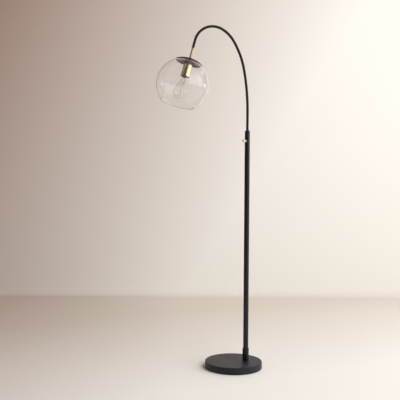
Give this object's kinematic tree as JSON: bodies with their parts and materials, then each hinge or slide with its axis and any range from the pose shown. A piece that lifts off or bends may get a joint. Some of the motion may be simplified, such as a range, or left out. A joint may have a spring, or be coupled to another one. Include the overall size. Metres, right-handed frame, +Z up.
{
  "type": "arc floor lamp",
  "caption": "Floor lamp with a round weighted base, an off-centre pole, a sliding and swinging arched arm, and a tilted clear globe shade around a brass socket and a clear bulb.",
  "frame": {"origin": "centre of the round base's foot plane, on the floor", "axes": "+Z up along the pole, +X towards the pole from the base's centre, the arm reaches towards -X, +Y to the rear, where the cord inlet is"},
  "size_m": [0.5269, 0.2778, 1.6499],
  "materials": {
    "black_paint": "satin black powder coat, very fine orange peel, slightly greyer where light grazes it",
    "satin_brass": "satin brushed pale brass, clear lacquered",
    "aged_brass": "darker satin brass",
    "shade_glass": "clear blown glass, fire-polished rim, thicker towards the mouth",
    "bulb_glass": "thin clear glass",
    "filament": "pale yellow phosphor sticks",
    "bulb_shell": "rolled thin metal, satin",
    "cast_iron": "rough cast, dark primer",
    "zinc_steel": "zinc plated",
    "rubber": "matt black rubber",
    "foot_pad": "fine-grained black foam",
    "silicone": "translucent white silicone",
    "black_plastic": "moulded phenolic, matt",
    "ivory_plastic": "moulded, satin",
    "nylon": "turned nylon",
    "wire_jacket": "black PVC sheath"
  },
  "bodies": {
    "root": {"floor_pad": "foot_pad", "bottom_plate": "zinc_steel", "bottom_plate_screws": "zinc_steel", "base_weight": "cast_iron", "base_cover": "black_paint", "cord_grommet": "rubber", "terminal_block": "ivory_plastic", "terminal_block_screws": "zinc_steel", "base_lead": "wire_jacket", "hollow_stud": "zinc_steel", "stud_washer": "zinc_steel", "stud_nut": "zinc_steel", "pole_plug": "zinc_steel", "pole_sleeve": "black_paint", "sleeve_set_screw": "black_paint", "pole_lower": "black_paint", "pole_coupler": "zinc_steel", "pole_upper": "black_paint", "pole_top_bush": "black_paint", "lock_boss": "black_paint", "pole_lead": "wire_jacket"},
    "lower_guide": {"lower_guide": "nylon"},
    "arm": {"arm_tube": "black_paint", "guide_rings": "zinc_steel", "arm_end_insert": "satin_brass", "arm_lead": "wire_jacket", "stem": "satin_brass", "stem_collar": "aged_brass", "shade_cap": "black_paint", "upper_gasket": "silicone", "globe_shade": "shade_glass", "lower_gasket": "silicone", "shade_retainer": "zinc_steel", "socket_cover": "satin_brass", "head_nipple": "zinc_steel", "cover_nut": "aged_brass", "lampholder_cap": "black_plastic", "lampholder_body": "black_plastic", "lampholder_screws": "aged_brass", "screw_shell": "aged_brass", "centre_contact": "aged_brass"},
    "lock_pad": {"lock_pad": "aged_brass"},
    "lock_knob": {"lock_screw": "satin_brass", "lock_knob": "satin_brass"},
    "bulb": {"bulb_base": "bulb_shell", "bulb_insulator": "black_plastic", "bulb_contact": "zinc_steel", "bulb_glass": "bulb_glass", "bulb_stem": "bulb_glass", "bulb_filaments": "filament"}
  },
  "joints": [
    {"name": "arm_height", "type": "slide", "parent": "root", "child": "lower_guide", "axis": [0, 0, 1], "range_m": [-0.08, 0.1], "deforming": ["pole_lead"]},
    {"name": "arm_swing", "type": "hinge", "parent": "lower_guide", "child": "arm", "pos_m": [0.063, 0, 0.786], "axis": [0, 0, 1], "range_deg": [-180, 180]},
    {"name": "lock_pad_slide", "type": "slide", "parent": "root", "child": "lock_pad", "axis": [-0.7986, -0.6018, 0], "range_m": [0, 0.002]},
    {"name": "lock_knob_turn", "type": "hinge", "parent": "lock_pad", "child": "lock_knob", "pos_m": [0.063, 0, 1.1], "axis": [-0.7986, -0.6018, 0], "range_deg": [0, 720]},
    {"name": "bulb_release", "type": "slide", "parent": "arm", "child": "bulb", "axis": [-0.2672, 0, -0.9636], "range_m": [0, 0.17]}
  ],
  "couplings": [
    {"joint": "lock_knob_turn", "follows": "lock_pad_slide", "rad_per_m": 6283.2}
  ]
}
